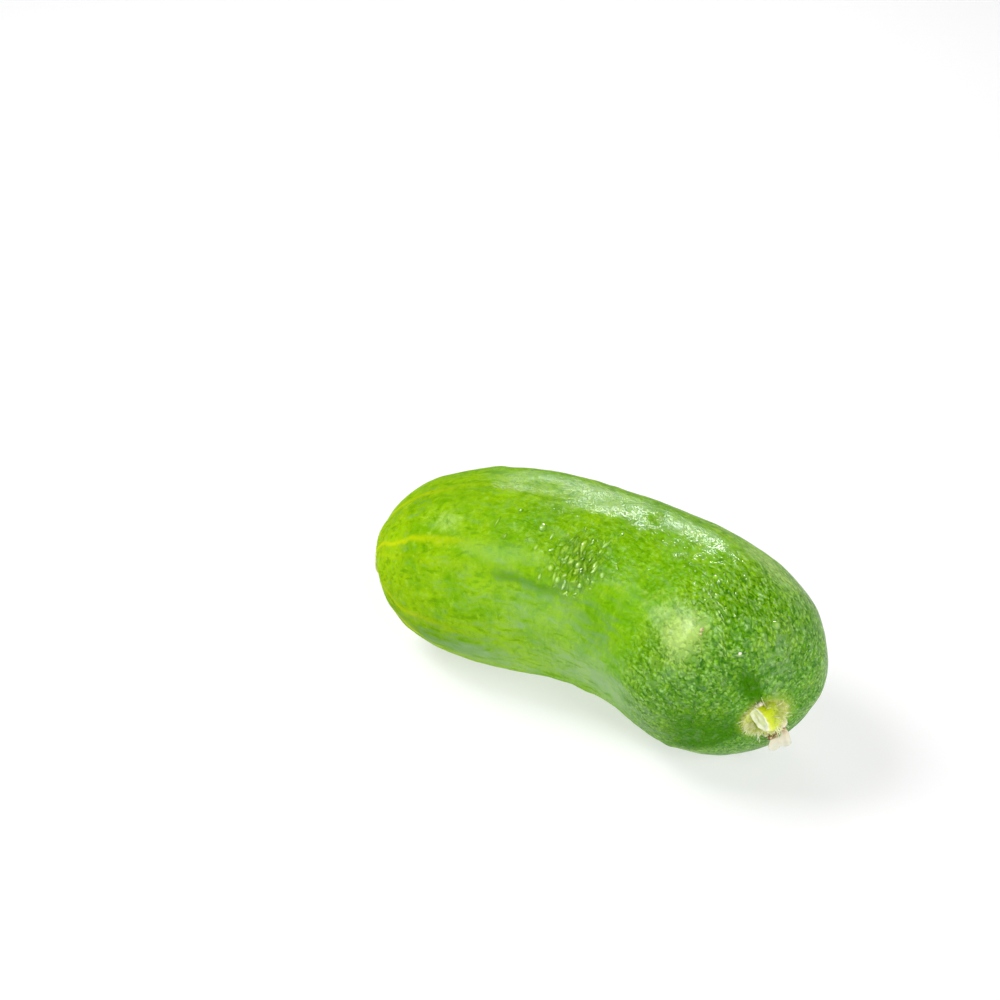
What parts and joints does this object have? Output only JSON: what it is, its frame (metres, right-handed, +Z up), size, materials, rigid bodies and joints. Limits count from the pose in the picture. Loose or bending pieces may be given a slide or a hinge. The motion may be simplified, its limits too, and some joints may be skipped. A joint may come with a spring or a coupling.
{
  "type": "snack cucumber",
  "caption": "Short, gently bent snack cucumber lying on its side, with a hairy stalk stump, a torn scrap of stalk skin and a corky blossom scar.",
  "frame": {"origin": "on the table, under the middle of the fruit's box", "axes": "+Z up, +X along the fruit from its blossom end to its stem end, -Y to the side that it bends round"},
  "size_m": [0.0927, 0.0422, 0.0391],
  "materials": {
    "cucumber_skin": "fresh cucumber skin, waxy and faintly pimpled, grass green with a yellower blossom end",
    "stalk": "moist cut stalk, yellow-green with fine pale hairs",
    "dry_husk": "dry, thin, whitish scrap of stalk skin, matt"
  },
  "bodies": {
    "root": {"fruit": "cucumber_skin", "stem_stub": "stalk", "stalk_scrap": "dry_husk"}
  },
  "joints": []
}
